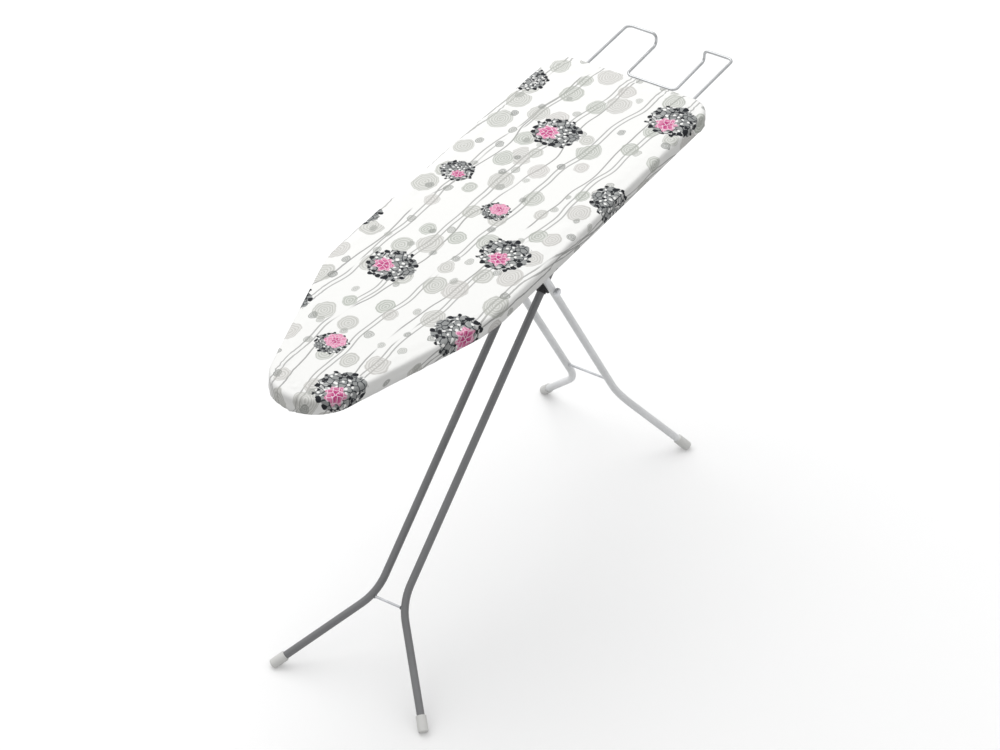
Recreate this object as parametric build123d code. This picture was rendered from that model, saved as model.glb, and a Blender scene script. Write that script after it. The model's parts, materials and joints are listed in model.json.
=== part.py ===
"""A free-standing ironing board on folding X legs, with a wire iron rest at its tail.

Millimetres. +Z is up and Z = 0 is the floor. X runs along the board: the rounded nose is at -X,
the square tail and the iron rest are at +X. Y = 0 is the plane of symmetry of the board and legs.
The origin is on the floor, under the middle of the whole object's length.
"""
from build123d import *
from math import cos, radians, sin, sqrt, tan
import os

os.makedirs("parts", exist_ok=True)

# ---- Overall size --------------------------------------------------------------------------------
BOARD_LENGTH = 1150.0
BOARD_HALF_WIDTH = 175.0
BOARD_TOP_Z = 815.0
REST_REACH = 176.0                      # the iron rest stands this far out of the tail
NOSE_X = -(BOARD_LENGTH + REST_REACH) / 2
TAIL_X = NOSE_X + BOARD_LENGTH
REST_END_X = TAIL_X + REST_REACH

# ---- Plan of the board ---------------------------------------------------------------------------
NOSE_RADIUS = 84.0
TAPER_DEG = 17.3                        # each side of the nose, from the board's length
SHOULDER_RADIUS = 320.0
TAIL_CORNER_RADIUS = 48.0

# ---- Clearances ----------------------------------------------------------------------------------
RUNNING_GAP = 0.05                      # radial, in every bore that turns on a pin
FIT_GAP = 0.04                          # radial, where two pieces are pressed or glued
SIDE_GAP = 0.1                          # each face of a washer, and the end of a blind bore
TURN_GAP = 0.3                          # beside a leg that turns against its neighbour
OVERCUT = 1.0                           # a cutting shape runs this far past the face it opens
THROUGH_Y = 80.0                        # past everything that sits on a left-hand pin

# ---- Layers of the top, from the cover down ------------------------------------------------------
LAYER_GAP = 0.3
COVER_THICK = 1.5
COVER_DEPTH = 32.0
COVER_BOTTOM_Z = BOARD_TOP_Z - COVER_DEPTH
COVER_EDGE_RADIUS = 7.0
HEM_WIDTH = 16.0                        # turned in under the rim
PAD_TOP_Z = BOARD_TOP_Z - COVER_THICK - LAYER_GAP
PAD_THICK = 6.0
PAD_EDGE_RADIUS = 5.0
STEEL_INSET = COVER_THICK + LAYER_GAP   # pad, sheet and rim, in from the cover's outside
SHEET_TOP_Z = PAD_TOP_Z - PAD_THICK
SHEET_THICK = 0.8
SHEET_LOW_Z = SHEET_TOP_Z - SHEET_THICK
RIM_THICK = 1.5
RIM_GAP = 0.5                           # over the turned-in hem
RIM_BOTTOM_Z = COVER_BOTTOM_Z + COVER_THICK + RIM_GAP
STEAM_HOLE_RADIUS = 4.5
STEAM_PITCH_X = 34.0
STEAM_PITCH_Y = 17.0
STEAM_MARGIN = 22.0
STEAM_CLEAR = 8.0                       # plain sheet beyond the end of what is fastened under it
STEAM_CLEAR_RAIL = 6.0                  # beside a rail
STEAM_CLEAR_RIB = 12.0                  # beside a rib
STEAM_CLEAR_RIVET = 14.0                # round the rivets and screws of a bracket
STEAM_CLEAR_LEVER = (20.0, 110.0)       # half length and half width, round the lever's axis

# ---- X legs --------------------------------------------------------------------------------------
TUBE_RADIUS = 7.5
TUBE_WALL = 1.2
TUBE_TOP_OVERRUN = 12.0                 # tube above its hinge pin or slide bar
HINGE_Z = 765.0                         # hinge pin and slide bar
CROSS_X, CROSS_Z = 110.0, 564.0         # where the two pairs cross
INNER_DEG = 40.65                       # inner pair to the floor
OUTER_DEG = 58.75                       # outer pair to the floor
HINGE_X = CROSS_X + (HINGE_Z - CROSS_Z) / tan(radians(INNER_DEG))
SLIDE_X = CROSS_X - (HINGE_Z - CROSS_Z) / tan(radians(OUTER_DEG))
INNER_Y = 28.0
OUTER_Y = 49.0
INNER_BEND_Z = 142.0
OUTER_BEND_Z = 145.0
INNER_FOOT = (-530.0, 170.0, 4.5)       # centre of the foot cap's end
OUTER_FOOT = (445.5, 171.5, 3.5)
LEG_BEND_RADIUS = 118.0
BRACE_RADIUS = 2.5
BRACE_SINK = 1.0                        # how far a brace is let into each tube's wall
BRACE_PLACE = {"inner": 0.8125, "outer": 0.72}    # fraction of the tube's length, from its top
COLLAR_WALL = 2.2
COLLAR_LENGTH = 18.0
COLLAR_DROP = 2.5                       # the collar's middle, below the axle along the tube
FOOT_RADIUS = 10.0
FOOT_LENGTH = 32.0
FOOT_BOTTOM = 9.0                       # solid plastic under the tube's end
FOOT_END_ROUND = 3.0
FOOT_MOUTH_BEVEL = 1.0
PLUG_HEAD = 2.0
PLUG_ROUND = 1.4
PLUG_STEM = 5.0

# ---- Pins and what sits on them ------------------------------------------------------------------
AXLE_RADIUS = 4.0
AXLE_END = 5.0                          # beyond the outer tubes
AXLE_CAP_TOP = 2.5
AXLE_CAP_ROUND = 4.0
BOSS_RADIUS = 8.5                       # collars and axle caps
SLEEVE_RADIUS = 6.0
PIN_RADIUS = 5.0
PIN_TAIL = 4.5                          # beyond the bracket's ear, for the push nut
PIN_HEAD_RADIUS = 7.5
PIN_HEAD_THICK = 1.6
PUSH_NUT_RADIUS = 8.0
PUSH_NUT_THICK = 1.8
WASHER_RADIUS = 8.0
SMALL_EDGE = 0.8                        # broken edge of pin heads, collars and shoes

# ---- Slide rails under the board -----------------------------------------------------------------
SHOE_RADIUS = 7.0
RAIL_THICK = 1.5
RAIL_WEB_Y = 74.5                       # inner face of the upright web
RAIL_LIP_Y = 61.0                       # free edge of the two lips
RAIL_FLANGE_Y = 94.0
SLIDE_BAR_PLAY = 1.0                    # between the bar's end and each web
RAIL_PLAY = 0.5                         # under the shoe, and behind it at the tail stop
RAIL_RISE = 9.2                         # room over the shoe
RAIL_LOW_Z = HINGE_Z - SHOE_RADIUS - RAIL_PLAY
RAIL_HIGH_Z = HINGE_Z + SHOE_RADIUS + RAIL_RISE
RAIL_TAIL_X = SLIDE_X + SHOE_RADIUS + RAIL_PLAY
RAIL_NOSE_X = -214.0

# ---- Brackets and ribs ---------------------------------------------------------------------------
PLATE_THICK = 2.5
EAR_Y = 37.2                            # inner face of the hinge bracket's ears
EAR_REACH = 11.0                        # below the pin, and half the ear's width there
EAR_ROUND = 9.0
BRACKET_LENGTH = 64.0
BRACKET_EDGE = 9.0                      # plate beyond its rivets
RIB_WIDTH = 24.0
RIB_HEIGHT = 10.0
RIB_THICK = 1.0
RIB_PLACES = {"nose": (-330.0, 156.0), "tail": (190.0, 168.0)}    # X and half length

# ---- Height lever --------------------------------------------------------------------------------
LEVER_X, LEVER_Z = 45.0, 785.0          # the axis that it turns on
LEVER_RADIUS = 4.0
LEVER_FAR_Y = 30.0
LEVER_HAND_Y = -128.0
LEVER_KNEE = (0.0, LEVER_HAND_Y, 774.0)
LEVER_TIP = (-78.0, LEVER_HAND_Y, 771.0)
LEVER_BENDS = [14.0, 40.0]
GRIP_RADIUS = 8.5
GRIP_LENGTH = 70.0
GRIP_BORE = 66.0                        # how much of the rod is inside the grip
GRIP_BORE_GAP = 0.2
GRIP_ROUND = 3.0
CATCH_LOW_Z, CATCH_HIGH_Z = 779.5, 791.0
CATCH_HALF_THICK = 1.5
CATCH_TAIL = 9.0                        # behind the lever's axis
CATCH_NOTCHES = 5
CATCH_PITCH = 20.0
CATCH_PLAY = 0.6                        # radial, between a notch and the slide bar
SPRING_RADIUS = 6.6
SPRING_PLAY = 0.6                       # radial, round the rod
SPRING_Y = (3.0, 17.0)
LEVER_BRACKET_Y = {"left": 22.0, "right": -92.0}
LEVER_BRACKET_HALF = 10.0
LEVER_BRACKET_DROP = 9.0                # below the lever's axis
LEVER_BRACKET_ROUND = 8.0
LEVER_BRACKET_FOOT = 18.0
LEVER_RIVET_INSET = 9.0                 # from the bracket's upright, along its foot

# ---- Iron rest -----------------------------------------------------------------------------------
WIRE_RADIUS = 3.0
WIRE_Y = 118.0                          # outer rods
WIRE_TUCK_Y = 54.0                      # inner rods, one step lower
WIRE_START_X = TAIL_X - 92.0
WIRE_LOW_Z = 794.0                      # where the rods pass through the rim
WIRE_END_Z = 798.0
WIRE_STEP_Z = 773.5
WIRE_BAR_Z = 768.0
WIRE_BAR_X = TAIL_X + 59.0              # cross bar of the lower bay
REST_BENDS = [200.0, 12.0, 10.0, 10.0, 12.0]    # from a rod's end to the cross bar
RIM_HOLE_GAP = 0.5
COVER_HOLE_GAP = 1.2
HOLDER_X = (TAIL_X - 84.0, TAIL_X - 24.0)
HOLDER_DROP = 6.0                       # below the rod's axis
HOLDER_SIDE = 7.0                       # beside the screws and beside the rod
HOLDER_ROUND = 5.0

# ---- Fasteners: places on the sheet, mirrored in Y where listed ----------------------------------
RIVET_RADIUS = 2.0
RIVET_HEAD_RADIUS = 4.0
RIVET_HEAD_HEIGHT = 2.0
SCREW_HEAD_HEIGHT = 2.6
HEAD_ROUND = 0.75                       # part of a head's height
RECESS_LONG, RECESS_WIDE, RECESS_DEEP = 4.2, 1.0, 1.2
RAIL_RIVET_X = (-205.0, -116.0, -28.0)
RAIL_RIVET_Y = 85.0
BRACKET_RIVET_X = (HINGE_X - 22.0, HINGE_X + 22.0)
BRACKET_RIVET_Y = 52.0
SCREW_X = (HOLDER_X[0] + 12.0, HOLDER_X[1] - 12.0)
SCREW_Y = WIRE_Y - 14.0

nodes = {}


def bar(points, radius, bends):
    """A round bar along straight runs joined by arcs."""
    path = FilletPolyline(*points, radius=list(bends))
    return sweep(Plane(origin=path @ 0, z_dir=path % 0) * Circle(radius), path)


def along_y(x, z, radius, start, end):
    """A cylinder along Y from start to end."""
    return extrude(Plane((x, min(start, end), z), z_dir=(0, 1, 0)) * Circle(radius), abs(end - start))


def block(x_range, y_range, z_range):
    """An upright box between two values on each axis."""
    size = [high - low for low, high in (x_range, y_range, z_range)]
    return Pos(x_range[0], y_range[0], z_range[0]) * Box(*size, align=Align.MIN)


def both_sides(solid):
    """A solid and its mirror image across the plane of symmetry, as one group."""
    return Compound(children=[solid, mirror(solid, Plane.XZ)])


def post(x, y, low, high, radius):
    """An upright cylinder."""
    return Pos(x, y, low) * Cylinder(radius, high - low, align=(Align.CENTER, Align.CENTER, Align.MIN))


def rivet_hole(x, y):
    """What a rivet's shank needs clear in a plate under the sheet."""
    low = SHEET_LOW_Z - PLATE_THICK - OVERCUT
    return post(x, y, low, SHEET_LOW_Z + OVERCUT, RIVET_RADIUS + FIT_GAP)


# ---- The top: cover, pad, perforated sheet and rim -----------------------------------------------
def board_plan(inset):
    """The board's plan as a face on Z = 0, drawn in from the cover's outside by inset."""
    half_width = BOARD_HALF_WIDTH - inset
    tail_x = TAIL_X - inset
    taper = radians(TAPER_DEG)
    nose_radius = NOSE_RADIUS - inset
    taper_x = NOSE_X + NOSE_RADIUS - nose_radius * sin(taper)
    taper_y = nose_radius * cos(taper)
    shoulder_x = taper_x + (half_width - taper_y) / tan(taper)
    sides = Polyline(
        (taper_x, taper_y), (shoulder_x, half_width), (tail_x, half_width),
        (tail_x, -half_width), (shoulder_x, -half_width), (taper_x, -taper_y),
    )
    nose = ThreePointArc(sides @ 1, (NOSE_X + inset, 0), sides @ 0)
    plan = make_face(sides.edges() + nose.edges())
    plan = fillet(plan.vertices().sort_by(Axis.X)[-2:], TAIL_CORNER_RADIUS - inset)
    shoulders = [v for v in plan.vertices() if abs(v.X - shoulder_x) < OVERCUT]
    return fillet(shoulders, SHOULDER_RADIUS - inset)


def layer(inset, low, high):
    """One flat layer of the board between two heights."""
    return extrude(Pos(0, 0, low) * board_plan(inset), high - low)


def tail_rod_holes(radius):
    """What the two rods of the iron rest need clear in the tail's edge."""
    start = Plane((HOLDER_X[1], WIRE_Y, WIRE_LOW_Z), z_dir=(1, 0, 0))
    return both_sides(extrude(start * Circle(radius), TAIL_X - HOLDER_X[1] + OVERCUT))


def sheet_fasteners():
    """Every fastener through the sheet: X, Y and the height of the face that its head bears on."""
    sites = []
    for side in (1, -1):
        sites += [(x, side * RAIL_RIVET_Y, SHEET_LOW_Z - RAIL_THICK) for x in RAIL_RIVET_X]
        sites += [(x, side * BRACKET_RIVET_Y, SHEET_LOW_Z - PLATE_THICK) for x in BRACKET_RIVET_X]
    for y in LEVER_BRACKET_Y.values():
        sites.append((LEVER_X, y - LEVER_RIVET_INSET, SHEET_LOW_Z - PLATE_THICK))
    return sites


def holder_screw_sites():
    """The screws of the two iron-rest holders, with the height under their heads."""
    return [(x, side * SCREW_Y, WIRE_LOW_Z - HOLDER_DROP) for x in SCREW_X for side in (1, -1)]


def steam_holes():
    """Staggered steam holes, left out where something is fastened under the sheet."""
    bracket_half = BRACKET_LENGTH / 2 + STEAM_CLEAR
    rib_side = RIB_WIDTH / 2 + STEAM_CLEAR_RIB
    lever_half, lever_side = STEAM_CLEAR_LEVER
    keep_out = [
        (RAIL_NOSE_X - STEAM_CLEAR, RAIL_TAIL_X + STEAM_CLEAR,
         RAIL_WEB_Y - STEAM_CLEAR_RAIL, RAIL_FLANGE_Y + STEAM_CLEAR_RAIL),
        (HINGE_X - bracket_half, HINGE_X + bracket_half, -1, BRACKET_RIVET_Y + STEAM_CLEAR_RIVET),
        (LEVER_X - lever_half, LEVER_X + lever_half, -1, lever_side),
        (HOLDER_X[0] - STEAM_CLEAR, HOLDER_X[1] + STEAM_CLEAR,
         SCREW_Y - STEAM_CLEAR_RIVET, WIRE_Y + STEAM_CLEAR_RIVET),
    ]
    for x, half in RIB_PLACES.values():
        keep_out.append((x - rib_side, x + rib_side, -1, half + STEAM_CLEAR))
    room = board_plan(STEAM_MARGIN).face()
    holes = []
    rows = int(BOARD_HALF_WIDTH / STEAM_PITCH_Y)
    columns = int(BOARD_LENGTH / STEAM_PITCH_X)
    for row in range(-rows, rows + 1):
        for column in range(columns + 1):
            x = NOSE_X + (column + 0.5 * (row % 2)) * STEAM_PITCH_X
            y = row * STEAM_PITCH_Y
            blocked = any(a < x < b and c < abs(y) < d for a, b, c, d in keep_out)
            if not blocked and room.is_inside(Vector(x, y, 0)):
                holes.append(Pos(x, y) * Circle(STEAM_HOLE_RADIUS))
    return holes


def make_cover():
    outside = layer(0, COVER_BOTTOM_Z, BOARD_TOP_Z)
    outside = fillet(outside.edges().group_by(Axis.Z)[-1], COVER_EDGE_RADIUS)
    outside = fillet(outside.edges().group_by(Axis.Z)[0], COVER_THICK * 2)
    inside = layer(COVER_THICK, COVER_BOTTOM_Z + COVER_THICK, BOARD_TOP_Z - COVER_THICK)
    inside = fillet(inside.edges().group_by(Axis.Z)[-1], COVER_EDGE_RADIUS - COVER_THICK)
    mouth = layer(HEM_WIDTH, COVER_BOTTOM_Z - OVERCUT, COVER_BOTTOM_Z + COVER_THICK + OVERCUT)
    return outside - inside - mouth - tail_rod_holes(WIRE_RADIUS + COVER_HOLE_GAP)


nodes["cover"] = make_cover()

felt_pad = layer(STEEL_INSET, SHEET_TOP_Z, PAD_TOP_Z)
nodes["felt_pad"] = fillet(felt_pad.edges().group_by(Axis.Z)[-1], PAD_EDGE_RADIUS)

fastener_holes = [Pos(x, y) * Circle(RIVET_RADIUS + FIT_GAP)
                  for x, y, _ in sheet_fasteners() + holder_screw_sites()]
sheet_plan = board_plan(STEEL_INSET) - steam_holes() - fastener_holes
nodes["top_panel"] = extrude(Pos(0, 0, SHEET_LOW_Z) * sheet_plan, SHEET_THICK)

rim_frame = layer(STEEL_INSET, RIM_BOTTOM_Z, SHEET_LOW_Z)
rim_frame -= layer(STEEL_INSET + RIM_THICK, RIM_BOTTOM_Z - OVERCUT, SHEET_LOW_Z + OVERCUT)
nodes["rim_frame"] = rim_frame - tail_rod_holes(WIRE_RADIUS + RIM_HOLE_GAP)

rib_low_z = SHEET_LOW_Z - RIB_HEIGHT
for place, (rib_x, rib_half) in RIB_PLACES.items():
    nose_face = rib_x - RIB_WIDTH / 2
    tail_face = rib_x + RIB_WIDTH / 2
    outer_box = block((nose_face, tail_face), (-rib_half, rib_half), (rib_low_z, SHEET_LOW_Z))
    channel = block((nose_face + RIB_THICK, tail_face - RIB_THICK),
                    (-rib_half - OVERCUT, rib_half + OVERCUT),
                    (rib_low_z + RIB_THICK, SHEET_LOW_Z + OVERCUT))
    nodes["cross_rib_" + place] = outer_box - channel


# ---- Iron rest -----------------------------------------------------------------------------------
def make_iron_rest():
    end_x = REST_END_X - WIRE_RADIUS
    half = [
        (WIRE_START_X, WIRE_Y, WIRE_LOW_Z), (TAIL_X, WIRE_Y, WIRE_LOW_Z), (end_x, WIRE_Y, WIRE_END_Z),
        (end_x, WIRE_TUCK_Y, WIRE_END_Z), (end_x, WIRE_TUCK_Y, WIRE_STEP_Z),
        (WIRE_BAR_X, WIRE_TUCK_Y, WIRE_BAR_Z),
    ]
    other = [(x, -y, z) for x, y, z in reversed(half)]
    return bar(half + other, WIRE_RADIUS, REST_BENDS + REST_BENDS[::-1])


nodes["iron_rest_wire"] = make_iron_rest()

for side, sign in (("left", 1), ("right", -1)):
    y_range = sorted((sign * (SCREW_Y - HOLDER_SIDE), sign * (WIRE_Y + HOLDER_SIDE)))
    low_z = WIRE_LOW_Z - HOLDER_DROP
    holder = block(HOLDER_X, y_range, (low_z, SHEET_LOW_Z))
    holder = fillet(holder.edges().filter_by(Axis.Z), HOLDER_ROUND)
    rod_start = Plane((WIRE_START_X, sign * WIRE_Y, WIRE_LOW_Z), z_dir=(1, 0, 0))
    holder -= extrude(rod_start * Circle(WIRE_RADIUS + FIT_GAP), TAIL_X - WIRE_START_X)
    for x in SCREW_X:
        holder -= post(x, sign * SCREW_Y, low_z - OVERCUT, SHEET_LOW_Z + OVERCUT,
                       RIVET_RADIUS + FIT_GAP)
    nodes["rest_holder_" + side] = holder


# ---- Hinge bracket under the tail ----------------------------------------------------------------
def make_hinge_bracket():
    x_range = (HINGE_X - BRACKET_LENGTH / 2, HINGE_X + BRACKET_LENGTH / 2)
    flange_y = BRACKET_RIVET_Y + BRACKET_EDGE
    plate_low_z = SHEET_LOW_Z - PLATE_THICK
    ear_low_z = HINGE_Z - EAR_REACH
    bracket = block(x_range, (-flange_y, flange_y), (plate_low_z, SHEET_LOW_Z))
    ear_plan = Polyline(
        (x_range[0], plate_low_z), (HINGE_X - EAR_REACH, ear_low_z),
        (HINGE_X + EAR_REACH, ear_low_z), (x_range[1], plate_low_z), close=True,
    )
    ear = make_face(ear_plan)
    ear = fillet(ear.vertices().sort_by(Axis.Y)[:2], EAR_ROUND)
    for y in (EAR_Y, -EAR_Y - PLATE_THICK):
        plane = Plane((0, y + PLATE_THICK, 0), x_dir=(1, 0, 0), z_dir=(0, -1, 0))
        bracket += extrude(plane * ear, PLATE_THICK)
    bracket -= along_y(HINGE_X, HINGE_Z, PIN_RADIUS + FIT_GAP, -THROUGH_Y, THROUGH_Y)
    for x in BRACKET_RIVET_X:
        bracket -= both_sides(rivet_hole(x, BRACKET_RIVET_Y))
    return bracket


nodes["hinge_bracket"] = make_hinge_bracket()
ear_out = EAR_Y + PLATE_THICK
pin_shank = along_y(HINGE_X, HINGE_Z, PIN_RADIUS, -ear_out - PIN_TAIL, ear_out)
pin_head = along_y(HINGE_X, HINGE_Z, PIN_HEAD_RADIUS, ear_out, ear_out + PIN_HEAD_THICK)
nodes["hinge_pin"] = pin_shank + fillet(pin_head.edges().group_by(Axis.Y)[-1], SMALL_EDGE)
push_nut = along_y(HINGE_X, HINGE_Z, PUSH_NUT_RADIUS, -ear_out - PUSH_NUT_THICK, -ear_out)
nodes["pin_push_nut"] = push_nut - along_y(HINGE_X, HINGE_Z, PIN_RADIUS + FIT_GAP, -THROUGH_Y, 0)


# ---- Slide rails ---------------------------------------------------------------------------------
def make_rail():
    """The left rail: two inward lips, an upright web, an outward flange and a stop at each end."""
    web_out = RAIL_WEB_Y + RAIL_THICK
    mouth_y = (RAIL_LIP_Y, web_out)
    length = (RAIL_NOSE_X, RAIL_TAIL_X + RAIL_THICK)
    rail = block(length, (RAIL_WEB_Y, web_out), (RAIL_LOW_Z - RAIL_THICK, SHEET_LOW_Z))
    rail += block(length, mouth_y, (RAIL_LOW_Z - RAIL_THICK, RAIL_LOW_Z))
    rail += block(length, mouth_y, (RAIL_HIGH_Z, RAIL_HIGH_Z + RAIL_THICK))
    rail += block(length, (RAIL_WEB_Y, RAIL_FLANGE_Y), (SHEET_LOW_Z - RAIL_THICK, SHEET_LOW_Z))
    for stop_x in (RAIL_TAIL_X, RAIL_NOSE_X):
        rail += block((stop_x, stop_x + RAIL_THICK), mouth_y, (RAIL_LOW_Z, RAIL_HIGH_Z))
    for x in RAIL_RIVET_X:
        rail -= rivet_hole(x, RAIL_RIVET_Y)
    return rail


nodes["guide_rail_left"] = make_rail()
nodes["guide_rail_right"] = mirror(make_rail(), Plane.XZ)


# ---- Rivets and screws ---------------------------------------------------------------------------
def fastener(x, y, seat_z, head_height):
    """A round-headed fastener from below: the head bears on seat_z and the shank ends in the sheet."""
    head = post(x, y, seat_z - head_height, seat_z, RIVET_HEAD_RADIUS)
    head = fillet(head.edges().group_by(Axis.Z)[0], head_height * HEAD_ROUND)
    return head + post(x, y, seat_z, SHEET_TOP_Z, RIVET_RADIUS)


def screw(x, y, seat_z):
    """A cross-recessed pan-head screw."""
    driven = fastener(x, y, seat_z, SCREW_HEAD_HEIGHT)
    head_z = seat_z - SCREW_HEAD_HEIGHT
    for half_x, half_y in ((RECESS_LONG / 2, RECESS_WIDE / 2), (RECESS_WIDE / 2, RECESS_LONG / 2)):
        driven -= block((x - half_x, x + half_x), (y - half_y, y + half_y),
                        (head_z - OVERCUT, head_z + RECESS_DEEP))
    return driven


rivets = [fastener(*site, RIVET_HEAD_HEIGHT) for site in sheet_fasteners()]
nodes["bracket_rivets"] = Compound(children=rivets)
nodes["holder_screws"] = Compound(children=[screw(*site) for site in holder_screw_sites()])


# ---- Leg tubes, braces and feet ------------------------------------------------------------------
def leg_line(pivot_x, angle, leg_y, bend_z, foot):
    """Points of one left leg's centre line: top end, bend, middle of the foot cap's end."""
    slope = radians(angle)
    toward_foot = -1 if foot[0] < pivot_x else 1
    top_x = pivot_x - toward_foot * TUBE_TOP_OVERRUN * cos(slope)
    top_z = HINGE_Z + TUBE_TOP_OVERRUN * sin(slope)
    bend_x = pivot_x + toward_foot * (HINGE_Z - bend_z) / tan(slope)
    return [(top_x, leg_y, top_z), (bend_x, leg_y, bend_z), foot]


def leg_path(line):
    """The tube's centre line, which stops short of the foot cap's end."""
    top, bend, foot = [Vector(*point) for point in line]
    end = foot + (bend - foot).normalized() * FOOT_BOTTOM
    return FilletPolyline(top, bend, end, radius=LEG_BEND_RADIUS)


def make_tube(path, pivot_x, pivot_radius):
    """One left leg tube, drilled for its top pin and for the cross axle."""
    wall = Circle(TUBE_RADIUS) - Circle(TUBE_RADIUS - TUBE_WALL)
    tube = sweep(Plane(origin=path @ 0, z_dir=path % 0) * wall, path)
    tube -= along_y(pivot_x, HINGE_Z, pivot_radius, 0, THROUGH_Y)
    return tube - along_y(CROSS_X, CROSS_Z, AXLE_RADIUS + RUNNING_GAP, 0, THROUGH_Y)


def make_foot(line):
    """One left foot cap: a round cup over the tube's end, cut flat where it stands on the floor."""
    bend, foot = Vector(*line[1]), Vector(*line[2])
    outward = (foot - bend).normalized()
    start = Plane(origin=foot - outward * FOOT_LENGTH, z_dir=outward)
    cap = extrude(start * Circle(FOOT_RADIUS), FOOT_LENGTH)
    cap = fillet(cap.edges().filter_by(GeomType.CIRCLE).sort_by_distance(foot)[0], FOOT_END_ROUND)
    mouth = cap.edges().filter_by(GeomType.CIRCLE).sort_by_distance(start.origin)[0]
    cap = chamfer(mouth, FOOT_MOUTH_BEVEL)
    cap -= extrude(start * Circle(TUBE_RADIUS + FIT_GAP), FOOT_LENGTH - FOOT_BOTTOM)
    below_floor = block((foot.X - FOOT_LENGTH, foot.X + FOOT_LENGTH),
                        (foot.Y - FOOT_LENGTH, foot.Y + FOOT_LENGTH), (-FOOT_LENGTH, 0))
    return cap - below_floor


def make_plug(line):
    """The plastic plug in a tube's top end, with a low domed head."""
    top, bend = Vector(*line[0]), Vector(*line[1])
    upward = (top - bend).normalized()
    head = extrude(Plane(origin=top, z_dir=upward) * Circle(TUBE_RADIUS), PLUG_HEAD)
    above = top + upward * PLUG_HEAD * 2
    rim = head.edges().filter_by(GeomType.CIRCLE).sort_by_distance(above)[0]
    stem_plan = Circle(TUBE_RADIUS - TUBE_WALL - FIT_GAP)
    stem = extrude(Plane(origin=top, z_dir=-upward) * stem_plan, PLUG_STEM)
    return fillet(rim, PLUG_ROUND) + stem


def make_brace(path, place):
    """A thin straight bar welded between a pair of tubes."""
    spot = path @ place
    run = path % place
    half = spot.Y - TUBE_RADIUS / sqrt(1 - run.Y ** 2) + BRACE_SINK
    return along_y(spot.X, spot.Z, BRACE_RADIUS, -half, half)


inner_line = leg_line(HINGE_X, INNER_DEG, INNER_Y, INNER_BEND_Z, INNER_FOOT)
outer_line = leg_line(SLIDE_X, OUTER_DEG, OUTER_Y, OUTER_BEND_Z, OUTER_FOOT)
leg_pairs = {
    "inner": (inner_line, HINGE_X, PIN_RADIUS + RUNNING_GAP),
    "outer": (outer_line, SLIDE_X, PIN_RADIUS + FIT_GAP),
}
for pair, (line, pivot_x, pivot_radius) in leg_pairs.items():
    path = leg_path(line)
    tube = make_tube(path, pivot_x, pivot_radius)
    foot_cap = make_foot(line)
    nodes[pair + "_tube_left"] = tube
    nodes[pair + "_tube_right"] = mirror(tube, Plane.XZ)
    nodes[pair + "_foot_left"] = foot_cap
    nodes[pair + "_foot_right"] = mirror(foot_cap, Plane.XZ)
    nodes[pair + "_end_plugs"] = both_sides(make_plug(line))
    nodes[pair + "_brace"] = make_brace(path, BRACE_PLACE[pair])


# ---- Pivots --------------------------------------------------------------------------------------
washer_y = (INNER_Y + TUBE_RADIUS + SIDE_GAP, EAR_Y - SIDE_GAP)
washer = along_y(HINGE_X, HINGE_Z, WASHER_RADIUS, *washer_y)
washer -= along_y(HINGE_X, HINGE_Z, PIN_RADIUS + RUNNING_GAP, 0, THROUGH_Y)
nodes["hinge_washers"] = both_sides(washer)

axle_half = OUTER_Y + TUBE_RADIUS + AXLE_END
nodes["cross_axle"] = along_y(CROSS_X, CROSS_Z, AXLE_RADIUS, -axle_half, axle_half)


def make_collar():
    """The left pivot collar: a sleeve round the inner tube with a boss that spaces the outer tube."""
    slope = radians(INNER_DEG)
    upward = Vector(cos(slope), 0, sin(slope))
    low_end = Vector(CROSS_X, INNER_Y, CROSS_Z) - upward * (COLLAR_DROP + COLLAR_LENGTH / 2)
    start = Plane(origin=low_end, z_dir=upward)
    collar = extrude(start * Circle(TUBE_RADIUS + COLLAR_WALL), COLLAR_LENGTH)
    collar = fillet(collar.edges().filter_by(GeomType.CIRCLE), SMALL_EDGE)
    collar += along_y(CROSS_X, CROSS_Z, BOSS_RADIUS, INNER_Y, OUTER_Y - TUBE_RADIUS - TURN_GAP)
    collar -= extrude(start * Circle(TUBE_RADIUS + FIT_GAP), COLLAR_LENGTH * 2)
    return collar - along_y(CROSS_X, CROSS_Z, AXLE_RADIUS + FIT_GAP, 0, THROUGH_Y)


nodes["pivot_collar_left"] = make_collar()
nodes["pivot_collar_right"] = mirror(make_collar(), Plane.XZ)

sleeve_half = INNER_Y - TUBE_RADIUS - COLLAR_WALL
centre_sleeve = along_y(CROSS_X, CROSS_Z, SLEEVE_RADIUS, -sleeve_half, sleeve_half)
centre_sleeve -= along_y(CROSS_X, CROSS_Z, AXLE_RADIUS + FIT_GAP, -THROUGH_Y, THROUGH_Y)
nodes["centre_sleeve"] = centre_sleeve

turning_face = OUTER_Y + TUBE_RADIUS + TURN_GAP
axle_cap = along_y(CROSS_X, CROSS_Z, BOSS_RADIUS, turning_face, axle_half + AXLE_CAP_TOP)
axle_cap = fillet(axle_cap.edges().group_by(Axis.Y)[-1], AXLE_CAP_ROUND)
axle_cap -= along_y(CROSS_X, CROSS_Z, AXLE_RADIUS + FIT_GAP, 0, axle_half + SIDE_GAP)
nodes["axle_caps"] = both_sides(axle_cap)

bar_half = RAIL_WEB_Y - SLIDE_BAR_PLAY
nodes["slide_bar"] = along_y(SLIDE_X, HINGE_Z, PIN_RADIUS, -bar_half, bar_half)
shoe = along_y(SLIDE_X, HINGE_Z, SHOE_RADIUS, turning_face, bar_half)
shoe = fillet(shoe.edges(), SMALL_EDGE)
shoe -= along_y(SLIDE_X, HINGE_Z, PIN_RADIUS + FIT_GAP, 0, THROUGH_Y)
nodes["slide_shoe_left"] = shoe
nodes["slide_shoe_right"] = mirror(shoe, Plane.XZ)

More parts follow.
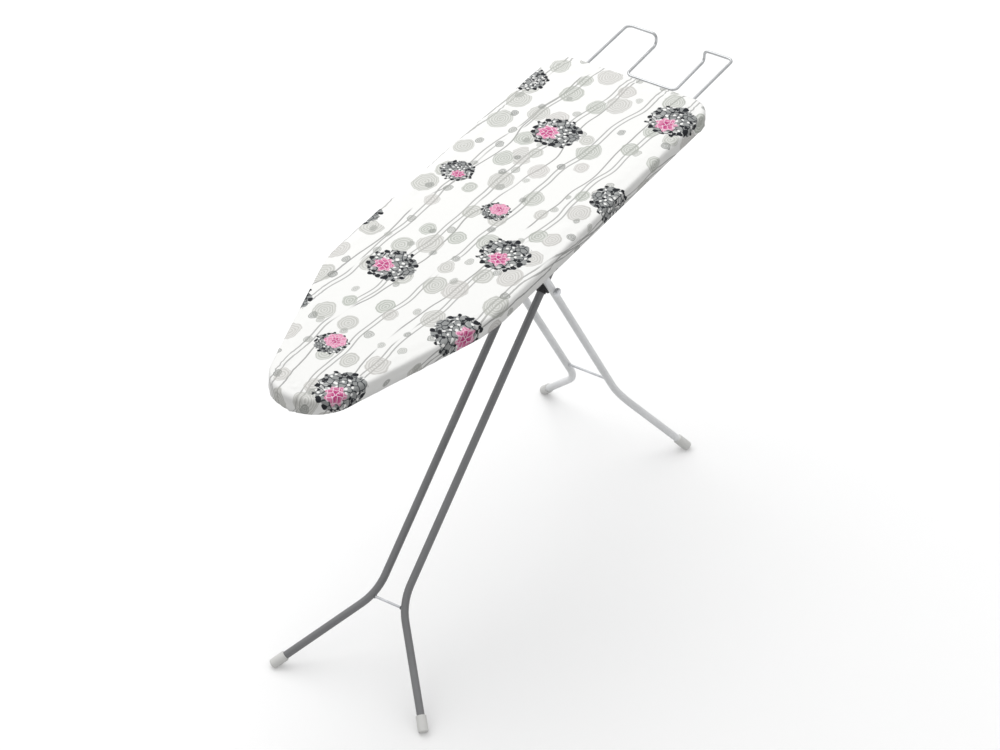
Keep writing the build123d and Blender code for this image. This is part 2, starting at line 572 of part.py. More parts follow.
# ---- Height lever --------------------------------------------------------------------------------
lever_axis = [(LEVER_X, LEVER_FAR_Y, LEVER_Z), (LEVER_X, LEVER_HAND_Y, LEVER_Z)]
nodes["lever_rod"] = bar(lever_axis + [LEVER_KNEE, LEVER_TIP], LEVER_RADIUS, LEVER_BENDS)

tip = Vector(*LEVER_TIP)
run = (tip - Vector(*LEVER_KNEE)).normalized()
grip_start = Plane(origin=tip - run * GRIP_BORE, z_dir=run)
grip = extrude(grip_start * Circle(GRIP_RADIUS), GRIP_LENGTH)
grip = fillet(grip.edges(), GRIP_ROUND)
grip -= extrude(grip_start * Circle(LEVER_RADIUS + FIT_GAP), GRIP_BORE + GRIP_BORE_GAP)
nodes["lever_grip"] = grip

catch_x = (SLIDE_X - (CATCH_NOTCHES - 0.5) * CATCH_PITCH, LEVER_X + CATCH_TAIL)
catch_y = (-CATCH_HALF_THICK, CATCH_HALF_THICK)
catch = block(catch_x, catch_y, (CATCH_LOW_Z, CATCH_HIGH_Z))
for notch in range(CATCH_NOTCHES):
    catch -= along_y(SLIDE_X - notch * CATCH_PITCH, CATCH_LOW_Z, PIN_RADIUS + CATCH_PLAY, *catch_y)
nodes["catch_plate"] = catch - along_y(LEVER_X, LEVER_Z, LEVER_RADIUS + FIT_GAP, *catch_y)

spring = along_y(LEVER_X, LEVER_Z, SPRING_RADIUS, *SPRING_Y)
nodes["lever_spring"] = spring - along_y(LEVER_X, LEVER_Z, LEVER_RADIUS + SPRING_PLAY, *SPRING_Y)

lever_bracket_x = (LEVER_X - LEVER_BRACKET_HALF, LEVER_X + LEVER_BRACKET_HALF)
for side, y in LEVER_BRACKET_Y.items():
    back_y = y + PLATE_THICK
    upright = block(lever_bracket_x, (y, back_y), (LEVER_Z - LEVER_BRACKET_DROP, SHEET_LOW_Z))
    upright = fillet(upright.edges().filter_by(Axis.Y).group_by(Axis.Z)[0], LEVER_BRACKET_ROUND)
    bracket = upright + block(lever_bracket_x, (y - LEVER_BRACKET_FOOT, back_y),
                              (SHEET_LOW_Z - PLATE_THICK, SHEET_LOW_Z))
    bracket -= along_y(LEVER_X, LEVER_Z, LEVER_RADIUS + RUNNING_GAP, y, back_y)
    bracket -= rivet_hole(LEVER_X, y - LEVER_RIVET_INSET)
    nodes["lever_bracket_" + side] = bracket

for name, solid in nodes.items():
    export_step(solid, os.path.join("parts", name + ".step"))
print(len(nodes), "nodes")
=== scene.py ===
import json
from math import cos, hypot, pi, radians, sin, tan

import bpy
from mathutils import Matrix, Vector, noise
from mathutils.bvhtree import BVHTree
from mathutils.geometry import delaunay_2d_cdt


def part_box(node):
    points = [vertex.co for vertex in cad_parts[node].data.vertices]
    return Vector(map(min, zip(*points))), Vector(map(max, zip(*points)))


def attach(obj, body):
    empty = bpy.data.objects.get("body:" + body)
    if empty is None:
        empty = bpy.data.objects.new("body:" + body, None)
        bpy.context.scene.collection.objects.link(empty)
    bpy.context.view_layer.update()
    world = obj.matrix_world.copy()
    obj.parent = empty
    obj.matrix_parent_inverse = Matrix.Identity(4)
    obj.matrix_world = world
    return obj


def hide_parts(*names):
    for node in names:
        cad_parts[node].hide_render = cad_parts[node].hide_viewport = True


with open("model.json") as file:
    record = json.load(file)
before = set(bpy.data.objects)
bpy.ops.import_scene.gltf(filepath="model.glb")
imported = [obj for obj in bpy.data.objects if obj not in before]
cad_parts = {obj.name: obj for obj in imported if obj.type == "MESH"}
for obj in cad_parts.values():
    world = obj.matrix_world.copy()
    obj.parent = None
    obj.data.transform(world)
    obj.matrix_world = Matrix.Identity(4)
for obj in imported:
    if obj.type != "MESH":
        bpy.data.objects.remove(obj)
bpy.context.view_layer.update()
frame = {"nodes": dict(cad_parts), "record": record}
NODES = frame["nodes"]
scene = bpy.context.scene

# Metres throughout. +X runs from the nose to the tail, +Z is up, and Z = 0 is the floor.
MM = 0.001

# ---- The board's plan, from the cover's CAD box ---------------------------------------------------
cover_low, cover_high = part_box("cover")
NOSE_X, TAIL_X = cover_low.x, cover_high.x
HALF_WIDTH = cover_high.y
HEM_Z = cover_low.z
NOSE_RADIUS = 84 * MM
TAPER = radians(17.3)
SHOULDER_RADIUS = 320 * MM
TAIL_CORNER_RADIUS = 48 * MM
ROD_Y, ROD_Z = 118 * MM, 794.3 * MM     # where the iron rest's rods pass through the tail

# ---- Camera and light -----------------------------------------------------------------------------
CAMERA_PLACE = (-4.2163, -2.6619, 4.3713)
CAMERA_YAW, CAMERA_PITCH = radians(32.25), radians(38.43)
CAMERA_LENS, CAMERA_SENSOR = 121.5, 36.0
KEY_PLACE, KEY_AIM = (0.9, 1.7, 3.4), (0, 0, 0.55)
KEY_SIZE, KEY_POWER = 4.6, 66
SKY_AT_HORIZON, SKY_OVERHEAD = 0.46, 1.04
FLOOR_REACH = 14.0


# ================================================================================================
# Camera, light and floor
# ================================================================================================
def add_camera():
    data = bpy.data.cameras.new("camera")
    data.sensor_width = CAMERA_SENSOR
    data.lens = CAMERA_LENS
    camera = bpy.data.objects.new("camera", data)
    level = cos(CAMERA_PITCH)
    forward = Vector((cos(CAMERA_YAW) * level, sin(CAMERA_YAW) * level, -sin(CAMERA_PITCH)))
    camera.location = CAMERA_PLACE
    camera.rotation_mode = "QUATERNION"
    camera.rotation_quaternion = forward.to_track_quat("-Z", "Y")
    scene.collection.objects.link(camera)
    scene.camera = camera


def add_key_light():
    data = bpy.data.lights.new("key", "AREA")
    data.shape = "DISK"
    data.size = KEY_SIZE
    data.energy = KEY_POWER
    light = bpy.data.objects.new("key", data)
    light.location = KEY_PLACE
    aim = Vector(KEY_AIM) - Vector(KEY_PLACE)
    light.rotation_mode = "QUATERNION"
    light.rotation_quaternion = aim.to_track_quat("-Z", "Y")
    scene.collection.objects.link(light)


def add_studio():
    """A sky that is brighter overhead than at the horizon, one broad key light and a pale floor."""
    world = bpy.data.worlds.new("studio")
    world.use_nodes = True
    tree = world.node_tree
    direction = tree.nodes.new("ShaderNodeTexCoord").outputs["Generated"]
    split = tree.nodes.new("ShaderNodeSeparateXYZ")
    overhead = tree.nodes.new("ShaderNodeMapRange")
    overhead.inputs["To Min"].default_value = SKY_AT_HORIZON
    overhead.inputs["To Max"].default_value = SKY_OVERHEAD
    tree.links.new(direction, split.inputs[0])
    tree.links.new(split.outputs["Z"], overhead.inputs["Value"])
    tree.links.new(overhead.outputs[0], tree.nodes["Background"].inputs["Strength"])
    tree.nodes["Background"].inputs["Color"].default_value = (1.0, 1.0, 1.0, 1.0)
    scene.world = world
    add_key_light()
    mesh = bpy.data.meshes.new("floor")
    corners = [(-1, -1), (1, -1), (1, 1), (-1, 1)]
    mesh.from_pydata([(x * FLOOR_REACH, y * FLOOR_REACH, 0) for x, y in corners], [], [(0, 1, 2, 3)])
    floor = bpy.data.objects.new("floor", mesh)
    scene.collection.objects.link(floor)
    floor.visible_diffuse = False
    mesh.materials.append(floor_material())
    scene.view_settings.view_transform = "Standard"


# ================================================================================================
# Node materials
# ================================================================================================
class Shader:
    """A Principled material whose nodes are added by short calls. Values are numbers or sockets."""

    def __init__(self, name):
        self.material = bpy.data.materials.new(name)
        self.material.use_nodes = True
        self.tree = self.material.node_tree
        self.bsdf = self.tree.nodes["Principled BSDF"]

    def plug(self, socket, value):
        if isinstance(value, bpy.types.NodeSocket):
            self.tree.links.new(value, socket)
        elif isinstance(value, (tuple, list)) and len(value) == 3 and socket.type == "RGBA":
            socket.default_value = (*value, 1.0)
        else:
            socket.default_value = value

    def set(self, **values):
        for name, value in values.items():
            self.plug(self.bsdf.inputs[name.replace("_", " ")], value)

    def math(self, operation, a, b=0.0):
        node = self.tree.nodes.new("ShaderNodeMath")
        node.operation = operation
        self.plug(node.inputs[0], a)
        self.plug(node.inputs[1], b)
        return node.outputs[0]

    def vector(self, operation, a, b=(0, 0, 0), scale=None):
        node = self.tree.nodes.new("ShaderNodeVectorMath")
        node.operation = operation
        self.plug(node.inputs[0], a)
        if scale is None:
            self.plug(node.inputs[1], b)
        else:
            self.plug(node.inputs["Scale"], scale)
        return node.outputs["Value"] if operation in ("LENGTH", "DOT_PRODUCT") else node.outputs[0]

    def mix(self, factor, a, b):
        node = self.tree.nodes.new("ShaderNodeMix")
        node.data_type = "RGBA"
        self.plug(node.inputs["Factor"], factor)
        self.plug(node.inputs[6], a)
        self.plug(node.inputs[7], b)
        return node.outputs[2]

    def mix_vector(self, factor, a, b):
        node = self.tree.nodes.new("ShaderNodeMix")
        node.data_type = "VECTOR"
        self.plug(node.inputs["Factor"], factor)
        self.plug(node.inputs[4], a)
        self.plug(node.inputs[5], b)
        return node.outputs[1]

    def step(self, value, low, high, out_low=0.0, out_high=1.0):
        """A smooth ramp from out_low at low to out_high at high."""
        node = self.tree.nodes.new("ShaderNodeMapRange")
        node.interpolation_type = "SMOOTHSTEP"
        for socket, number in zip(node.inputs[:5], (value, low, high, out_low, out_high)):
            self.plug(socket, number)
        return node.outputs[0]

    def coordinate(self, kind="Object"):
        return self.tree.nodes.new("ShaderNodeTexCoord").outputs[kind]

    def uv(self, name):
        node = self.tree.nodes.new("ShaderNodeUVMap")
        node.uv_map = name
        return node.outputs[0]

    def noise(self, where, scale, detail=2.0, roughness=0.5):
        node = self.tree.nodes.new("ShaderNodeTexNoise")
        self.plug(node.inputs["Vector"], where)
        node.inputs["Scale"].default_value = scale
        node.inputs["Detail"].default_value = detail
        node.inputs["Roughness"].default_value = roughness
        return node.outputs[0]

    def voronoi(self, where, scale, feature="F1", randomness=1.0):
        node = self.tree.nodes.new("ShaderNodeTexVoronoi")
        node.voronoi_dimensions = "2D"
        node.feature = feature
        self.plug(node.inputs["Vector"], where)
        node.inputs["Scale"].default_value = scale
        node.inputs["Randomness"].default_value = randomness
        return node.outputs

    def split(self, vector):
        node = self.tree.nodes.new("ShaderNodeSeparateXYZ")
        self.plug(node.inputs[0], vector)
        return node.outputs[:3]

    def join(self, x, y, z=0.0):
        node = self.tree.nodes.new("ShaderNodeCombineXYZ")
        for socket, value in zip(node.inputs, (x, y, z)):
            self.plug(socket, value)
        return node.outputs[0]

    def spin(self, vector, angle):
        node = self.tree.nodes.new("ShaderNodeVectorRotate")
        node.rotation_type = "Z_AXIS"
        self.plug(node.inputs["Vector"], vector)
        self.plug(node.inputs["Angle"], angle)
        return node.outputs[0]

    def bump(self, height, distance, strength=1.0, under=None):
        node = self.tree.nodes.new("ShaderNodeBump")
        node.inputs["Distance"].default_value = distance
        node.inputs["Strength"].default_value = strength
        self.plug(node.inputs["Height"], height)
        if under is not None:
            self.plug(node.inputs["Normal"], under)
        return node.outputs[0]


def floor_material():
    s = Shader("floor")
    tone = s.noise(s.coordinate(), 1.5, 3)
    s.set(Base_Color=s.mix(tone, (0.96, 0.96, 0.96), (0.98, 0.98, 0.98)), Roughness=0.7)
    return s.material


def powder_coat(name, colour, roughness, worn=(0.55, 0.56, 0.57)):
    """Sprayed powder: fine orange peel, faint cloudiness and rubbed high spots."""
    s = Shader(name)
    where = s.coordinate()
    cloud = s.step(s.noise(where, 9, 4), 0.35, 0.70)
    dark = tuple(c * 0.86 for c in colour)
    body = s.mix(cloud, dark, colour)
    scuff = s.math("MULTIPLY", s.step(s.noise(where, 130, 5, 0.7), 0.66, 0.74), 0.35)
    s.set(Base_Color=s.mix(scuff, body, worn), Metallic=0.15)
    s.set(Roughness=s.math("ADD", roughness, s.math("MULTIPLY", cloud, 0.10)))
    s.set(Normal=s.bump(s.noise(where, 900, 2), 0.00006, 0.6))
    return s.material


def plated(name, colour, roughness, cloudy):
    """Electroplated steel: bright, with drawing lines and soft clouding."""
    s = Shader(name)
    where = s.coordinate()
    cloud = s.noise(where, 26, 5, 0.65)
    dull = tuple(c * (1 - cloudy) for c in colour)
    s.set(Base_Color=s.mix(s.step(cloud, 0.35, 0.65), dull, colour), Metallic=1.0)
    s.set(Roughness=s.math("ADD", roughness, s.math("MULTIPLY", cloud, 0.14)))
    s.set(Normal=s.bump(s.noise(where, 420, 3), 0.00003, 0.5))
    return s.material


def moulded(name, colour, roughness, grain):
    """Moulded plastic with a fine spark-eroded grain."""
    s = Shader(name)
    where = s.coordinate()
    tone = s.noise(where, 40, 3)
    s.set(Base_Color=s.mix(tone, tuple(c * 0.88 for c in colour), colour))
    s.set(Roughness=s.math("ADD", roughness, s.math("MULTIPLY", tone, 0.12)))
    s.set(Normal=s.bump(s.noise(where, 1500, 2), grain, 0.7))
    return s.material


def felt():
    """Grey needled felt."""
    s = Shader("felt")
    where = s.coordinate()
    fibre = s.noise(where, 700, 6, 0.8)
    s.set(Base_Color=s.mix(fibre, (0.42, 0.42, 0.41), (0.70, 0.69, 0.67)), Roughness=0.95)
    s.set(Normal=s.bump(fibre, 0.0005, 0.8))
    return s.material


# Rosettes of the print: X and Y on the board, radius, heading of the pink heart in degrees, its size.
# Places and radii were measured on the photo, through its camera.
MOTIFS = [
    (0.394, -0.137, 0.055, 165, 0.46), (0.245, 0.027, 0.054, 115, 0.46),
    (0.372, 0.168, 0.044, 250, 0.0), (-0.133, -0.096, 0.054, 170, 0.44),
    (-0.266, 0.057, 0.052, 110, 0.44), (-0.604, -0.067, 0.054, 175, 0.44),
    (-0.366, -0.149, 0.056, -75, 0.46), (0.115, -0.174, 0.049, -60, 0.0),
    (0.043, 0.117, 0.037, 215, 0.42), (-0.029, -0.010, 0.031, -20, 0.66),
    (-0.509, 0.022, 0.034, -20, 0.66), (-0.159, 0.199, 0.047, 100, 0.0),
    (-0.437, 0.158, 0.044, 100, 0.0),
]
INK_BLACK = (0.016, 0.018, 0.022)
INK_GREY = (0.22, 0.23, 0.23)
INK_PINK = (0.46, 0.045, 0.19)
CLOTH_WHITE = (0.84, 0.84, 0.825)


def nearest_motif(s, where):
    """Place in the nearest motif: centre at 0, edge at 1, heart along +X and the heart's size in Z."""
    local = best = None
    for x, y, radius, heading, heart in MOTIFS:
        offset = s.vector("SUBTRACT", where, (x, y, 0))
        offset = s.vector("SCALE", s.spin(offset, radians(-heading)), scale=1 / radius)
        distance = s.vector("LENGTH", s.vector("MULTIPLY", offset, (1, 1, 0)))
        offset = s.vector("ADD", s.vector("MULTIPLY", offset, (1, 1, 0)), (0, 0, heart))
        if best is None:
            local, best = offset, distance
            continue
        local = s.mix_vector(s.math("LESS_THAN", distance, best), local, offset)
        best = s.math("MINIMUM", distance, best)
    return local, best


def stems(s, x, y, colour):
    """Thin pale stems, single or in pairs, that wander along the board.

    Each family has a pitch, half the gap in a pair, a phase, a swing and a tone.
    """
    families = ((0.070, 0.0044, 0.0, 0.075, 0.44), (0.100, 0.0, 0.037, 0.105, 0.38))
    for pitch, half_gap, phase, swing, tone in families:
        place = s.join(s.math("ADD", x, phase * 60), s.math("MULTIPLY", y, 0.35))
        sway = s.math("MULTIPLY", s.noise(place, 3.6, 2), swing)
        run = s.math("ADD", s.math("ADD", s.math("ADD", y, phase), sway), s.math("MULTIPLY", x, 0.05))
        line = s.math("PINGPONG", run, pitch / 2)
        away = s.math("ABSOLUTE", s.math("SUBTRACT", line, half_gap))
        ink = s.step(away, 0.0020, 0.0009)
        gaps = s.step(s.noise(s.join(x, s.math("MULTIPLY", y, 3), phase), 6, 1), 0.34, 0.42)
        colour = s.mix(s.math("MULTIPLY", ink, gaps), colour, (tone, tone, tone * 0.98))
    return colour


def leaf_rounds(s, where, colour):
    """Pale rounds with finer rings inside, each of its own size and tint, and small darker ones.

    Each kind has a cell scale, a size, the share left out, and its darkest and lightest tint.
    """
    kinds = ((14.5, 0.40, 0.08, (0.36, 0.39, 0.34), (0.52, 0.50, 0.48)),
             (21.0, 0.20, 0.48, (0.17, 0.18, 0.17), (0.44, 0.45, 0.42)))
    for scale, size, rare, low, high in kinds:
        cells = s.voronoi(s.vector("MULTIPLY", where, (0.86, 1.12, 1.0)), scale, randomness=0.85)
        chance, tint, _ = s.split(cells["Color"])
        reach = s.math("MULTIPLY", size, s.step(chance, 0.1, 1.0, 0.55, 1.0))
        disc = s.step(cells["Distance"], reach, s.math("MULTIPLY", reach, 0.90))
        disc = s.math("MULTIPLY", disc, s.math("GREATER_THAN", chance, rare))
        ring = s.math("SINE", s.math("MULTIPLY", cells["Distance"], 2 * pi / 0.072))
        rim = s.step(cells["Distance"], s.math("MULTIPLY", reach, 0.80), s.math("MULTIPLY", reach, 0.94))
        shade = s.math("MAXIMUM", s.step(ring, -0.7, 0.9, 0.42, 0.80), s.math("MULTIPLY", rim, 0.85))
        colour = s.mix(s.math("MULTIPLY", disc, shade), colour, s.mix(tint, low, high))
    return colour


def rosettes(s, where, colour):
    """Dark lace rosettes with a ring of blots and a pink heart to one side."""
    local, edge = nearest_motif(s, where)
    u, v, heart_size = s.split(local)
    flat = s.join(u, v)
    turn = s.math("ARCTAN2", v, u)

    lace = s.voronoi(flat, 4.4, "DISTANCE_TO_EDGE")["Distance"]
    seeds = s.voronoi(flat, 5.6)
    chance, _, _ = s.split(seeds["Color"])
    grey_side = s.step(u, 0.45, -0.25)
    patch = s.step(s.noise(flat, 2.2, 2), 0.44, 0.56)
    tone = s.math("MULTIPLY", s.math("MAXIMUM", grey_side, patch), 0.85)
    body = s.mix(tone, (0.66, 0.66, 0.65), INK_GREY)
    body = s.mix(s.step(lace, 0.10, 0.05), body, (0.045, 0.05, 0.055))
    blob = s.math("MULTIPLY", s.step(seeds["Distance"], 0.44, 0.32), s.math("GREATER_THAN", chance, 0.66))
    body = s.mix(blob, body, INK_BLACK)
    dot = s.math("MULTIPLY", s.step(seeds["Distance"], 0.34, 0.24), s.math("LESS_THAN", chance, 0.46))
    body = s.mix(dot, body, CLOTH_WHITE)
    ragged = s.math("ADD", edge, s.math("MULTIPLY", s.noise(flat, 3.4, 3), 0.30))
    colour = s.mix(s.step(ragged, 1.03, 0.98), colour, body)

    petals = 17
    count = s.math("MULTIPLY", s.math("ADD", turn, pi), petals / (2 * pi))
    across = s.math("MULTIPLY", s.math("SUBTRACT", s.math("FRACT", count), 0.5), 2.3)
    size = s.tree.nodes.new("ShaderNodeTexWhiteNoise")
    size.noise_dimensions = "1D"
    s.plug(size.inputs["W"], s.math("FLOOR", count))
    along = s.math("DIVIDE", s.math("SUBTRACT", edge, s.step(size.outputs[0], 0, 1, 0.70, 0.90)), 0.12)
    blot = s.math("ADD", s.math("MULTIPLY", across, across), s.math("MULTIPLY", along, along))
    rough = s.math("ADD", s.math("MULTIPLY", s.noise(flat, 6.0, 2), 1.1),
                   s.math("MULTIPLY", size.outputs["Color"], 1.1))
    colour = s.mix(s.step(s.math("ADD", blot, rough), 1.62, 1.38), colour, INK_BLACK)

    heart = s.vector("SUBTRACT", flat, (0.30, 0.0, 0.0))
    hx, hy, _ = s.split(heart)
    wave = s.math("COSINE", s.math("MULTIPLY", s.math("ARCTAN2", hy, hx), 7.0))
    reach = s.math("ADD", s.vector("LENGTH", heart), s.math("MULTIPLY", wave, 0.05))
    reach = s.math("ADD", reach, s.math("MULTIPLY", s.noise(heart, 4.0, 3), 0.16))
    bloom = s.step(reach, heart_size, s.math("SUBTRACT", heart_size, 0.05))
    bloom = s.math("MULTIPLY", bloom, s.math("GREATER_THAN", heart_size, 0.1))
    blush = s.mix(s.step(reach, 0.45, 0.15), (0.72, 0.26, 0.42), INK_PINK)
    veins = s.step(s.voronoi(heart, 5.6, "DISTANCE_TO_EDGE")["Distance"], 0.03, 0.10)
    flecks = s.step(s.noise(heart, 9.0, 2), 0.60, 0.66)
    blush = s.mix(flecks, blush, (0.80, 0.58, 0.68))
    return s.mix(bloom, colour, s.mix(veins, (0.80, 0.62, 0.70), blush))


def printed_cotton():
    """White cotton with grey stems, pale leaf rounds and dark lace rosettes with a pink heart."""
    s = Shader("printed_cotton")
    flat = s.uv("print")
    jitter = s.tree.nodes.new("ShaderNodeTexNoise")
    s.plug(jitter.inputs["Vector"], flat)
    jitter.inputs["Scale"].default_value = 60.0
    drift = s.vector("SUBTRACT", jitter.outputs["Color"], (0.5, 0.5, 0.5))
    where = s.vector("ADD", flat, s.vector("SCALE", drift, scale=0.008))
    x, y, _ = s.split(flat)
    colour = stems(s, x, y, CLOTH_WHITE)
    colour = leaf_rounds(s, where, colour)
    colour = rosettes(s, where, colour)

    # woven ground: threads both ways, slubs and the nap's softness
    thread = 2 * pi / (1.1 * MM)
    weave = s.math("MULTIPLY", s.math("SINE", s.math("MULTIPLY", x, thread)),
                   s.math("SINE", s.math("MULTIPLY", y, thread)))
    slub = s.noise(s.vector("MULTIPLY", flat, (1.0, 14.0, 1.0)), 90, 3)
    shade = s.math("ADD", 0.965, s.math("MULTIPLY", slub, 0.07))
    s.set(Base_Color=s.vector("MULTIPLY", colour, s.join(shade, shade, shade)), Roughness=0.86)
    s.bsdf.inputs["Sheen Weight"].default_value = 0.03
    s.bsdf.inputs["Specular IOR Level"].default_value = 0.18
    s.bsdf.inputs["Sheen Roughness"].default_value = 0.5
    s.set(Normal=s.bump(slub, 0.00035, 0.5, s.bump(weave, 0.00010, 0.35)))
    return s.material


# ================================================================================================
# Mesh helpers
# ================================================================================================
def new_piece(name, vertices, faces, body, slot_name, material):
    """A smooth-shaded mesh that rides on a body."""
    mesh = bpy.data.meshes.new(name)
    mesh.from_pydata(vertices, [], faces)
    mesh.materials.append(material)
    mesh.polygons.foreach_set("use_smooth", [True] * len(mesh.polygons))
    piece = bpy.data.objects.new(name, mesh)
    scene.collection.objects.link(piece)
    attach(piece, body)
    return piece


def board_outline(step):
    """Points round the cover's plan, about step apart, each with its outward normal."""
    nose_x = NOSE_X + NOSE_RADIUS
    taper_start = Vector((nose_x - NOSE_RADIUS * sin(TAPER), NOSE_RADIUS * cos(TAPER)))
    shoulder_x = taper_start.x + (HALF_WIDTH - taper_start.y) / tan(TAPER)
    bend = SHOULDER_RADIUS * tan(TAPER / 2)
    shoulder_end = Vector((shoulder_x + bend, HALF_WIDTH))
    shoulder_centre = Vector((shoulder_x + bend, HALF_WIDTH - SHOULDER_RADIUS))
    taper_end = shoulder_centre + SHOULDER_RADIUS * Vector((-sin(TAPER), cos(TAPER)))
    corner = Vector((TAIL_X - TAIL_CORNER_RADIUS, HALF_WIDTH - TAIL_CORNER_RADIUS))
    half = []

    def straight(start, end, normal):
        count = max(1, round((end - start).length / step))
        half.extend((start.lerp(end, i / count), normal) for i in range(count))

    def arc(centre, radius, first, last):
        count = max(3, round(radius * abs(last - first) / step))
        for i in range(count):
            angle = first + (last - first) * i / count
            normal = Vector((cos(angle), sin(angle)))
            half.append((centre + radius * normal, normal))

    straight(Vector((TAIL_X, 0)), Vector((TAIL_X, corner.y)), Vector((1, 0)))
    arc(corner, TAIL_CORNER_RADIUS, 0, pi / 2)
    straight(Vector((corner.x, HALF_WIDTH)), shoulder_end, Vector((0, 1)))
    arc(shoulder_centre, SHOULDER_RADIUS, pi / 2, pi / 2 + TAPER)
    straight(taper_end, taper_start, Vector((-sin(TAPER), cos(TAPER))))
    arc(Vector((nose_x, 0)), NOSE_RADIUS, pi / 2 + TAPER, pi)
    other = [(Vector((p.x, -p.y)), Vector((n.x, -n.y))) for p, n in reversed(half[1:])]
    return half + [(Vector((NOSE_X, 0)), Vector((-1, 0)))] + other


# ================================================================================================
# Cover, pad and their stitching
# ================================================================================================
RING_STEP = 6.5 * MM
GRID_STEP = 9.0 * MM
COARSE_STEP = GRID_STEP * 1.5           # for faces that the cover hides
ROW_PITCH = 0.866                       # of a grid step, for triangles with equal sides
EDGE_KEEP = 0.62                        # of a grid step, kept free of grid points along the edge
CLOTH_THICK = 0.9 * MM
CLOTH_CLEAR = CLOTH_THICK + 0.1 * MM    # least distance from the former to the cloth's outside
COLLISION_GAP = 0.4 * MM
MOST_MOVE = 4 * MM                      # of any point during the simulation
CLOTH_FRAMES = 14
HELD_RINGS = 4                          # of the hem
MOST_SWELL = 1.2 * MM
SIDE_GATHER, END_GATHER = 0.35, 1.6     # share of the gathers on the straight sides, and added at the ends
# frequency along the edge, frequency down the side, seed and height in mm
PLEAT = (42, 0.7, 3.1, 1.6)
RIPPLE = (110, 2.0, 9.4, 0.7)
UNDULATION, UNDULATION_SEED = 14, 1.7
COVER_LIFT, PAD_LIFT = 0.4 * MM, 0.15 * MM

# inset from the outline and height over the hem of each ring in mm, from the hem's free edge up
COVER_RINGS = [
    (16.0, 2.2), (12.0, 1.2), (8.0, 0.7), (4.5, 0.5), (2.0, 1.0), (0.7, 2.6), (0.2, 5.0), (0.0, 9.0),
    (0.0, 13.0), (0.0, 17.0), (0.2, 21.0), (0.4, 23.2), (0.8, 25.2), (1.6, 27.1), (2.8, 28.7),
    (4.6, 30.0), (7.0, 31.0), (10.0, 31.6), (14.0, 32.0), (19.0, 32.3), (26.0, 32.4),
]
FORMER_RINGS = [
    (16.0, 1.6), (3.0, 1.6), (1.9, 2.6), (1.8, 10.0), (1.8, 22.0), (2.2, 27.0), (4.5, 30.0),
    (8.0, 30.7), (14.0, 31.0),
]


def fill_inside(ring, step):
    """Triangles that fill a closed plan curve, with an even grid of points inside it."""
    xs, ys = [p.x for p in ring], [p.y for p in ring]
    points = [Vector(p) for p in ring]
    count = len(points)

    def inside(x, y):
        crossings = False
        for a, b in zip(points[:count], points[1:count] + points[:1]):
            if (a.y > y) != (b.y > y) and x < a.x + (y - a.y) / (b.y - a.y) * (b.x - a.x):
                crossings = not crossings
        return crossings

    def near_edge(x, y):
        return min((a.x - x) ** 2 + (a.y - y) ** 2 for a in points[:count]) < (step * EDGE_KEEP) ** 2

    rows = int((max(ys) - min(ys)) / (step * ROW_PITCH)) + 1
    columns = int((max(xs) - min(xs)) / step) + 1
    grid = []
    for row in range(rows):
        y = min(ys) + (row + 0.5) * step * ROW_PITCH
        for column in range(columns):
            x = min(xs) + (column + 0.5 * (row % 2)) * step
            if inside(x, y) and not near_edge(x, y):
                grid.append(Vector((x, y)))
    edges = [(i, (i + 1) % count) for i in range(count)]
    found, _, faces, *_ = delaunay_2d_cdt(points + grid, edges, [], 1, 1e-7)
    return found, faces


def edge_noise(kind, around, down):
    """Height in mm of one kind of gather at a place on the cover's side."""
    along_scale, down_scale, seed, height = kind
    return height * noise.noise(Vector((around * along_scale, down * down_scale, seed)))


def ring_stack(rings, waviness):
    """Vertices of the outline at each (inset mm, height mm), with the place on the print of each."""
    outline = board_outline(RING_STEP)
    top_inset, top_height = rings[-1]
    walked = [0.0]
    for (a, za), (b, zb) in zip(rings[::-1], rings[-2::-1]):
        walked.append(walked[-1] + hypot(a - b, za - zb) * MM)
    vertices, print_at = [], []
    for (inset, height), out in zip(rings, walked[::-1]):
        down = 1 - height / top_height
        around = 0.0
        for i, (point, normal) in enumerate(outline):
            around += (point - outline[i - 1][0]).length if i else 0
            bend = min(1.0, abs(normal.x) * END_GATHER + SIDE_GATHER)
            gathers = edge_noise(PLEAT, around, down) + edge_noise(RIPPLE, around, down)
            swell = gathers * bend * waviness * MM * down
            at = point - normal * (inset * MM - min(swell, MOST_SWELL))
            vertices.append((at.x, at.y, HEM_Z + height * MM))
            print_at.append(point + normal * (out - top_inset * MM))
    return outline, vertices, print_at


def ring_faces(levels, count):
    """Quads between neighbouring rings of count points each."""
    return [(level * count + i, level * count + (i + 1) % count,
             (level + 1) * count + (i + 1) % count, (level + 1) * count + i)
            for level in range(levels - 1) for i in range(count)]


def cap_faces(vertices, faces, print_at, count, step, lift):
    """Close the last ring with an even mesh that undulates by lift."""
    first = len(vertices) - count
    ring = [Vector(v[:2]) for v in vertices[first:]]
    height = vertices[first][2]
    found, triangles = fill_inside(ring, step)
    index = list(range(first, first + count))
    for point in found[count:]:
        rise = lift * noise.noise(Vector((point.x * UNDULATION, point.y * UNDULATION, UNDULATION_SEED)))
        index.append(len(vertices))
        vertices.append((point.x, point.y, height + rise))
        print_at.append(point)
    faces += [tuple(index[k] for k in triangle) for triangle in triangles]


